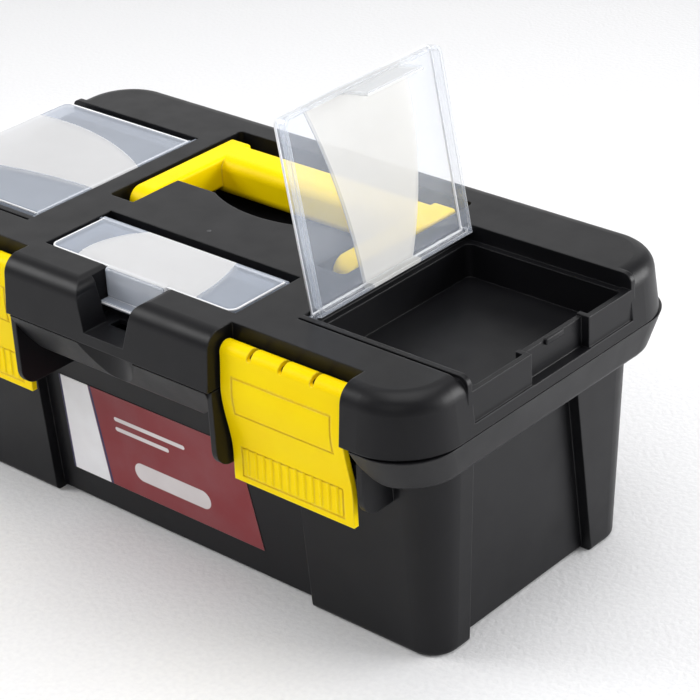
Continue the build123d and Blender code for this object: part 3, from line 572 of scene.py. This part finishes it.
@dataclass(frozen=True)
class PaleFloor:
    """Pale matte studio sweep with a very faint paper grain, and painted shade that deepens it a little far
    from the box.
    """

    name: str = "pale_floor"
    colour: Colour = (0.89, 0.89, 0.90)
    shade_colour: Colour = (0.84, 0.84, 0.855)
    far_painted_shade: Colour = (0.69, 0.69, 0.70)
    middle: Point = (0.10, -0.10, 0.0)
    near_edge: float = 0.35
    far_edge: float = 0.85
    grain_per_metre: float = 420.0
    grain_noise: Span = (0.35, 0.75)
    grain_depth_mm: float = 0.25
    rough: float = 0.9
    specular: float = 0.1

    def build(self) -> Material:
        """Make the material.

        Returns:
            The finished material.
        """
        shade = Shade(self.name)
        grain = shade.noise(self.grain_per_metre, detail=3.0)
        colour = shade.blend(shade.ramp(grain, *self.grain_noise), self.colour, self.shade_colour)
        # Painted shade: the floor is darkened a little further from the box.
        away = shade.add("ShaderNodeVectorMath", {0: shade.place, 1: self.middle}, operation="DISTANCE")
        far = shade.ramp(away.outputs["Value"], self.near_edge, self.far_edge)
        colour = shade.blend(far, colour, self.far_painted_shade)
        flat = shade.add("ShaderNodeNewGeometry").outputs["Normal"]
        relief = shade.bump(grain, self.grain_depth_mm, flat)
        return shade.principled(
            {
                "Base Color": colour,
                "Roughness": self.rough,
                "Normal": relief,
                "Specular IOR Level": self.specular,
            }
        )


def show(name: str, data: bpy.types.ID) -> Piece:
    """Link a new object to the scene.

    Args:
        name: Name of the object.
        data: Its mesh, lamp or camera.

    Returns:
        The object, at the origin.
    """
    item = bpy.data.objects.new(name, data)
    bpy.context.scene.collection.objects.link(item)
    return item


class SweptBead:
    """Geometry Nodes tree that sweeps a thin round bead along a path of edges."""

    SIDES = 8

    def __init__(self) -> None:
        """Build the node tree with its named inputs."""
        self.tree = bpy.data.node_groups.new("swept_bead", "GeometryNodeTree")
        face = self.tree.interface
        face.new_socket("Path", in_out="INPUT", socket_type="NodeSocketGeometry")
        self.radius = face.new_socket("Radius", in_out="INPUT", socket_type="NodeSocketFloat")
        self.sides = face.new_socket("Sides", in_out="INPUT", socket_type="NodeSocketInt")
        self.finish = face.new_socket("Finish", in_out="INPUT", socket_type="NodeSocketMaterial")
        face.new_socket("Bead", in_out="OUTPUT", socket_type="NodeSocketGeometry")
        nodes, links = self.tree.nodes, self.tree.links
        entry = nodes.new("NodeGroupInput")
        leave = nodes.new("NodeGroupOutput")
        path = nodes.new("GeometryNodeMeshToCurve")
        ring = nodes.new("GeometryNodeCurvePrimitiveCircle")
        sweep = nodes.new("GeometryNodeCurveToMesh")
        sweep.inputs["Fill Caps"].default_value = True
        real = nodes.new("GeometryNodeRealizeInstances")
        paint = nodes.new("GeometryNodeSetMaterial")
        links.new(entry.outputs["Path"], path.inputs["Mesh"])
        links.new(entry.outputs["Radius"], ring.inputs["Radius"])
        links.new(entry.outputs["Sides"], ring.inputs["Resolution"])
        links.new(path.outputs["Curve"], sweep.inputs["Curve"])
        links.new(ring.outputs["Curve"], sweep.inputs["Profile Curve"])
        links.new(sweep.outputs["Mesh"], real.inputs["Geometry"])
        links.new(real.outputs["Geometry"], paint.inputs["Geometry"])
        links.new(entry.outputs["Finish"], paint.inputs["Material"])
        links.new(paint.outputs["Geometry"], leave.inputs["Bead"])

    def sweep(self, name: str, paths: list[list[Point]], radius: float, material: Material) -> Piece:
        """Sweep a bead along one or more paths, whose two ends may meet.

        Args:
            name: Name of the new piece.
            paths: Points of each path in millimetres.
            radius: Radius of the bead in millimetres.
            material: Finish of the bead.

        Returns:
            The finished mesh object.
        """
        points: list[Vector] = []
        edges: list[tuple[int, int]] = []
        for path in paths:
            first = len(points)
            points += [Vector(point) * MM for point in path]
            edges += [(first + i, first + i + 1) for i in range(len(path) - 1)]
        guide = bpy.data.meshes.new(name + "_path")
        guide.from_pydata(points, edges, [])
        holder = show(name + "_path", guide)
        modifier = holder.modifiers.new("bead", "NODES")
        modifier.node_group = self.tree
        modifier[self.radius.identifier] = radius * MM
        modifier[self.sides.identifier] = self.SIDES
        modifier[self.finish.identifier] = material
        evaluated = holder.evaluated_get(bpy.context.evaluated_depsgraph_get())
        mesh = bpy.data.meshes.new_from_object(evaluated)
        holder.modifiers.remove(modifier)
        bpy.data.objects.remove(holder)
        mesh.name = name
        return show(name, mesh)


def dress(node: Piece, material: Material) -> None:
    """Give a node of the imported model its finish."""
    node.data.materials.clear()
    node.data.materials.append(material)


def settle(piece: Piece, body: str) -> None:
    """Let a finished piece ride on its body.

    Args:
        piece: Finished mesh object at the origin.
        body: Name of the body that carries it.
    """
    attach(piece, body)
    LOG.info("piece %s rides on %s", piece.name, body)


def lid_top() -> float:
    """Height of the lid's top face in millimetres."""
    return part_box("lid_shell")[1].z / MM


def rounded_bar(name: str, low: Point, high: Point, radius: float, material: Material) -> Piece:
    """Bar with rounded edges between two corners.

    Args:
        name: Name of the new piece.
        low: Lowest corner in millimetres.
        high: Highest corner in millimetres.
        radius: Edge radius in millimetres.
        material: Finish of the bar.

    Returns:
        The finished mesh object.
    """
    work = bmesh.new()
    bmesh.ops.create_cube(work, size=1.0)
    size = Vector(high) - Vector(low)
    middle = (Vector(high) + Vector(low)) / 2
    for vertex in work.verts:
        vertex.co = Vector(vertex.co[i] * size[i] + middle[i] for i in range(3)) * MM
    bmesh.ops.bevel(
        work, geom=list(work.edges), offset=radius * MM, segments=4, profile=0.5, affect="EDGES"
    )
    for face in work.faces:
        face.smooth = True
    mesh = bpy.data.meshes.new(name)
    work.to_mesh(mesh)
    work.free()
    mesh.materials.append(material)
    return show(name, mesh)


def turned_stub(
    name: str, outline: tuple[Span, ...], foot: Point, material: Material, sides: int = 32
) -> Piece:
    """Round stub turned about an upright axis.

    Args:
        name: Name of the new piece.
        outline: Radius and height pairs from the foot to the crown, in millimetres.
        foot: Middle of the foot in millimetres.
        material: Finish of the stub.
        sides: Number of points in each ring.

    Returns:
        The finished mesh object.
    """
    points: list[Vector] = []
    faces: list[tuple[int, ...]] = []
    for radius, height in outline:
        for step in range(sides):
            angle = 2 * math.pi * step / sides
            x = foot[0] + radius * math.cos(angle)
            y = foot[1] + radius * math.sin(angle)
            points.append(Vector((x, y, foot[2] + height)) * MM)
    for ring in range(len(outline) - 1):
        near, far = ring * sides, (ring + 1) * sides
        for step in range(sides):
            after = (step + 1) % sides
            faces.append((near + step, near + after, far + after, far + step))
    faces.append(tuple(reversed(range(sides))))
    faces.append(tuple(range(len(points) - sides, len(points))))
    mesh = bpy.data.meshes.new(name)
    mesh.from_pydata(points, [], faces)
    mesh.polygons.foreach_set("use_smooth", [True] * len(faces))
    mesh.materials.append(material)
    return show(name, mesh)


@dataclass
class TubAssembly:
    """Tub with its hinge pins, tray and front label."""

    nodes: dict[str, Piece]
    black: Material
    steel: Material
    film: Material

    def build(self) -> None:
        """Dress the nodes of the tub."""
        dress(self.nodes["base_tub"], self.black)
        dress(self.nodes["lift_out_tray"], self.black)
        dress(self.nodes["front_label"], self.film)
        for side in ("left", "right"):
            dress(self.nodes[f"hinge_pin_{side}"], self.steel)
        LOG.info("dressed the tub, tray, label and hinge pins")


@dataclass
class LidAssembly:
    """Lid with its snap ridges and gate mark, in millimetres."""

    nodes: dict[str, Piece]
    black: Material
    scuffed: Material
    notch_back: float = 155.0
    notch_middle: float = 0.125
    ridge_half: float = 5.5
    ridge_bottom: float = 122.3
    ridge_top: float = 125.0
    ridge_reach: float = 1.3
    ridge_root: float = 0.6
    ridge_round: float = 0.5
    gate_x: float = -5.6
    gate_y: float = -20.6
    gate_outline: tuple[Span, ...] = (
        (1.0, -0.3),
        (1.0, 0.02),
        (0.85, 0.10),
        (0.65, 0.09),
        (0.5, 0.03),
        (0.35, 0.12),
        (0.2, 0.30),
    )

    def build(self) -> None:
        """Dress the lid and add its small moulded marks."""
        dress(self.nodes["lid_shell"], self.black)
        root, tip = self.notch_back - self.ridge_root, self.notch_back + self.ridge_reach
        for name, side in (("left", -1), ("right", 1)):
            ends = sorted((side * root, side * tip))
            ridge = rounded_bar(
                f"snap_ridge_{name}",
                (ends[0], self.notch_middle - self.ridge_half, self.ridge_bottom),
                (ends[1], self.notch_middle + self.ridge_half, self.ridge_top),
                self.ridge_round,
                self.black,
            )
            settle(ridge, "lid")
        foot = (self.gate_x, self.gate_y, lid_top())
        gate = turned_stub("gate_mark", self.gate_outline, foot, self.scuffed)
        settle(gate, "lid")


@dataclass
class YellowFittings:
    """Both latches and the carry handle."""

    nodes: dict[str, Piece]
    yellow: Material

    def build(self) -> None:
        """Dress the yellow nodes."""
        for name in ("latch_left", "latch_right", "carry_handle"):
            dress(self.nodes[name], self.yellow)
        LOG.info("dressed the latches and the handle")


@dataclass
class ClearCovers:
    """Three clear covers with fine beads along their frosted bands and white rim beads of painted highlight,
    in millimetres.
    """

    nodes: dict[str, Piece]
    joints: dict[str, dict]
    bead: SweptBead
    # Finish of the white rim beads, a painted highlight.
    bright: Material
    side: CoverShape = CoverShape(
        reach=80.35,
        low=-50.175,
        high=42.025,
        bead_run=73.0,
        frost_reach=79.0,
        frost_low=(-18.8, -0.02, -0.0022),
        frost_high=(9.2, 0.50, -0.0040),
    )
    front: CoverShape = CoverShape(
        reach=31.3,
        low=-51.9,
        high=51.9,
        bead_run=24.0,
        frost_reach=32.6,
        frost_low=(-25.86, -0.874, 0.0185),
        frost_high=(24.36, 0.484, -0.0081),
    )
    # One clear material whose haze is set apart on each cover as painted light and shade: the shut covers
    # lighter, the standing right cover darker.
    left_lit_haze: Haze = Haze(clear_cover=0.35, milk_cover=0.72, milk=(0.95, 0.95, 0.96))
    right_shaded_haze: Haze = Haze(clear_cover=0.17, milk_cover=0.72, milk=(0.80, 0.80, 0.79))
    front_lit_haze: Haze = Haze(clear_cover=0.41, milk_cover=0.82, milk=(0.97, 0.97, 0.98))
    bead_radius: float = 0.22
    bead_start: float = 3.5
    bead_steps: int = 24
    rim_radius: float = 0.5
    rim_inset: float = 0.59
    rim_corner: float = 3.4
    corner_steps: int = 6
    tab_half: float = 15.8
    tab_front: float = -73.5
    tab_middle: float = 118.05

    def hinge(self, cover: str) -> Point:
        """Place of a cover's packed hinge in millimetres."""
        x, y, z = (place / MM for place in self.joints[f"{cover}_hinge"]["pos_m"])
        return x, y, z

    def plans(self) -> list[CoverPlan]:
        """Work out how each cover lies: the left and front ones shut, and the right one open.

        Returns:
            Plan of each cover.
        """
        lean = math.radians(-self.joints["right_cover_hinge"]["range_deg"][0])
        left = CoverPlan(
            node="left_cover",
            shape=self.side,
            haze=self.left_lit_haze,
            hinge=self.hinge("left_cover"),
            along=(-1.0, 0.0, 0.0),
            across=(0.0, 1.0, 0.0),
            outward=(0.0, 0.0, 1.0),
        )
        right = CoverPlan(
            node="right_cover",
            shape=self.side,
            haze=self.right_shaded_haze,
            hinge=self.hinge("right_cover"),
            along=(math.cos(lean), 0.0, math.sin(lean)),
            across=(0.0, 1.0, 0.0),
            outward=(-math.sin(lean), 0.0, math.cos(lean)),
        )
        front = CoverPlan(
            node="front_cover",
            shape=self.front,
            haze=self.front_lit_haze,
            hinge=self.hinge("front_cover"),
            along=(0.0, -1.0, 0.0),
            across=(1.0, 0.0, 0.0),
            outward=(0.0, 0.0, 1.0),
        )
        return [left, right, front]

    def bead_paths(self, plan: CoverPlan) -> list[list[Point]]:
        """Paths along both edges of a cover's frosted band.

        Args:
            plan: The cover.

        Returns:
            Points of each path in millimetres, on the outer face.
        """
        paths: list[list[Point]] = [[], []]
        face = lid_top() - plan.hinge[2]
        for step in range(self.bead_steps + 1):
            along = self.bead_start + plan.shape.bead_run * step / self.bead_steps
            for path, across in zip(paths, plan.shape.frost_limits(along)):
                path.append(plan.spot(along, across, face))
        return paths

    def rim_path(self, plan: CoverPlan) -> list[Point]:
        """Closed path along the rounded outer edge of a cover.

        Args:
            plan: The cover.

        Returns:
            Points in millimetres, the first one repeated at the end.
        """
        inset, corner = self.rim_inset, self.rim_corner
        low, high = plan.shape.low + inset, plan.shape.high - inset
        far = plan.shape.reach - inset - corner
        places = [(inset, high), (inset, low)]
        for middle, quarters in ((low + corner, 3), (high - corner, 0)):
            for step in range(self.corner_steps + 1):
                angle = (quarters + step / self.corner_steps) * math.pi / 2
                places.append((far + corner * math.cos(angle), middle + corner * math.sin(angle)))
        places.append(places[0])
        lift = lid_top() - inset - plan.hinge[2]
        return [plan.spot(along, across, lift) for along, across in places]

    def build(self) -> None:
        """Dress the covers and add their beads and rims."""
        for plan in self.plans():
            cover = plan.node
            material = ClearPlastic(f"clear_{cover}", plan).build()
            dress(self.nodes[cover], material)
            beads = self.bead.sweep(f"band_beads_{cover}", self.bead_paths(plan), self.bead_radius, material)
            settle(beads, cover)
            # White bead along the outer edge of each cover, a painted highlight.
            rims = [self.rim_path(plan)]
            if plan.shape is self.front:
                ends = (-self.tab_half, self.tab_half)
                rims.append([(end, self.tab_front, self.tab_middle) for end in ends])
            rim = self.bead.sweep(f"bright_rim_{cover}", rims, self.rim_radius, self.bright)
            settle(rim, cover)


@dataclass(frozen=True)
class Softbox:
    """One soft rectangular lamp: its place, aim and size in metres, and its power in watts."""

    name: str
    place: Point
    aim: Point
    size: Span
    power: float

    def build(self) -> None:
        """Add the lamp to the scene."""
        data = bpy.data.lights.new(self.name, "AREA")
        data.shape = "RECTANGLE"
        data.size, data.size_y = self.size
        data.energy = self.power
        lamp = show(self.name, data)
        lamp.location = self.place
        lamp.rotation_euler = (Vector(self.aim) - Vector(self.place)).to_track_quat("-Z", "Y").to_euler()


@dataclass
class Studio:
    """Pale floor, soft lamps and the pale surround, in metres."""

    floor_half: float = 6.0
    surround: Colour = (1.0, 1.0, 1.0)
    surround_strength: float = 0.36
    softboxes: tuple[Softbox, ...] = (
        Softbox("overhead_softbox", (0.15, 0.10, 1.6), aim=(0.0, 0.0, 0.05), size=(1.5, 1.2), power=14.5),
        Softbox("back_softbox", (-1.77, 1.77, 1.06), aim=(0.0, 0.0, 0.1), size=(3.5, 1.9), power=13.5),
        Softbox("right_softbox", (1.75, 1.60, 0.55), aim=(0.0, 0.0, 0.08), size=(1.8, 1.3), power=66.0),
        Softbox("front_softbox", (0.75, -1.7, 1.15), aim=(0.0, 0.0, 0.08), size=(1.4, 1.0), power=4.0),
        Softbox("left_softbox", (-1.3, -0.85, 1.05), aim=(0.0, 0.0, 0.08), size=(0.8, 0.8), power=14.5),
    )

    def build(self) -> None:
        """Add the floor, the surround and the lamps."""
        half = self.floor_half
        corners = [(-half, -half, 0.0), (half, -half, 0.0), (half, half, 0.0), (-half, half, 0.0)]
        mesh = bpy.data.meshes.new("studio_floor")
        mesh.from_pydata(corners, [], [(0, 1, 2, 3)])
        mesh.materials.append(PaleFloor().build())
        floor = show("studio_floor", mesh)
        world = bpy.data.worlds.new("pale_surround")
        world.use_nodes = True
        back = world.node_tree.nodes["Background"]
        back.inputs["Color"].default_value = (*self.surround, 1.0)
        back.inputs["Strength"].default_value = self.surround_strength
        bpy.context.scene.world = world
        for softbox in self.softboxes:
            softbox.build()
        LOG.info("studio floor and lamps are set")


@dataclass
class PhotoCamera:
    """Camera at the place and lens that fit the photograph."""

    place: Point = (0.6478, -0.64568, 0.5587)
    right: Point = (0.7517, 0.6575, -0.0521)
    up: Point = (-0.2783, 0.3878, 0.8789)
    lens: float = 124.71
    sensor: float = 36.0
    clip: Span = (0.02, 50.0)

    def build(self) -> None:
        """Add the camera and make it the scene's own."""
        right = Vector(self.right).normalized()
        back = right.cross(Vector(self.up)).normalized()
        up = back.cross(right)
        data = bpy.data.cameras.new("photo_camera")
        data.lens = self.lens
        data.sensor_width = self.sensor
        data.clip_start, data.clip_end = self.clip
        camera = show("photo_camera", data)
        turn = Matrix((right, up, back)).transposed().to_4x4()
        camera.matrix_world = Matrix.Translation(self.place) @ turn
        bpy.context.scene.camera = camera


@dataclass
class ToolBox:
    """The whole dressed tool box."""

    nodes: dict[str, Piece]
    joints: dict[str, dict]
    # In each finish, the edge colour is painted highlight mixed with wear, and the colour for slots is
    # painted shade.
    black: MouldedPlastic = MouldedPlastic(
        name="moulded_black",
        deep=(0.0052, 0.0052, 0.0064),
        pale=(0.0068, 0.0067, 0.0080),
        edge=(0.060, 0.060, 0.066),
        edge_share=0.5,
        rough=(0.34, 0.42),
        grain_per_metre=2300.0,
        grain_depth_mm=0.03,
        edge_radius_mm=0.7,
        specular=0.22,
        crevice_painted_shade=(0.0030, 0.0030, 0.0036),
    )
    yellow: MouldedPlastic = MouldedPlastic(
        name="moulded_yellow",
        deep=(0.99, 0.705, 0.0),
        pale=(1.0, 0.740, 0.001),
        edge=(1.0, 0.88, 0.16),
        edge_share=0.6,
        rough=(0.34, 0.42),
        grain_per_metre=1900.0,
        grain_depth_mm=0.02,
        edge_radius_mm=0.8,
        specular=0.07,
        crevice_painted_shade=(0.88, 0.60, 0.0),
    )
    scuffed: MouldedPlastic = MouldedPlastic(
        name="scuffed_black",
        deep=(0.050, 0.050, 0.053),
        pale=(0.090, 0.090, 0.094),
        edge=(0.26, 0.26, 0.27),
        edge_share=0.6,
        rough=(0.40, 0.55),
        grain_per_metre=2300.0,
        grain_depth_mm=0.03,
        edge_radius_mm=0.3,
        specular=0.22,
        crevice_painted_shade=(0.020, 0.020, 0.022),
    )
    # White finish of the cover rims, a painted highlight.
    bright: MouldedPlastic = MouldedPlastic(
        name="painted_highlight_rim",
        deep=(0.86, 0.87, 0.89),
        pale=(0.93, 0.93, 0.95),
        edge=(0.97, 0.97, 0.98),
        edge_share=0.4,
        rough=(0.22, 0.32),
        grain_per_metre=1500.0,
        grain_depth_mm=0.01,
        edge_radius_mm=0.2,
        specular=0.40,
        crevice_painted_shade=(0.70, 0.72, 0.76),
    )

    def build(self) -> None:
        """Build every sub-assembly in order."""
        black = self.black.build()
        yellow = self.yellow.build()
        TubAssembly(self.nodes, black, DrawnSteel().build(), PrintedFilm().build()).build()
        LidAssembly(self.nodes, black, self.scuffed.build()).build()
        YellowFittings(self.nodes, yellow).build()
        ClearCovers(self.nodes, self.joints, SweptBead(), self.bright.build()).build()


def main() -> None:
    """Load the frame, dress it, and set the studio and the camera."""
    logging.basicConfig(level=logging.INFO, format="%(name)s: %(message)s")
    for item in list(bpy.data.objects):
        bpy.data.objects.remove(item)
    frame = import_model()
    bpy.context.scene.view_settings.view_transform = "Standard"
    joints = {joint["name"]: joint for joint in frame["joints"]}
    ToolBox(frame["nodes"], joints).build()
    Studio().build()
    PhotoCamera().build()


if __name__ == "__main__":
    main()
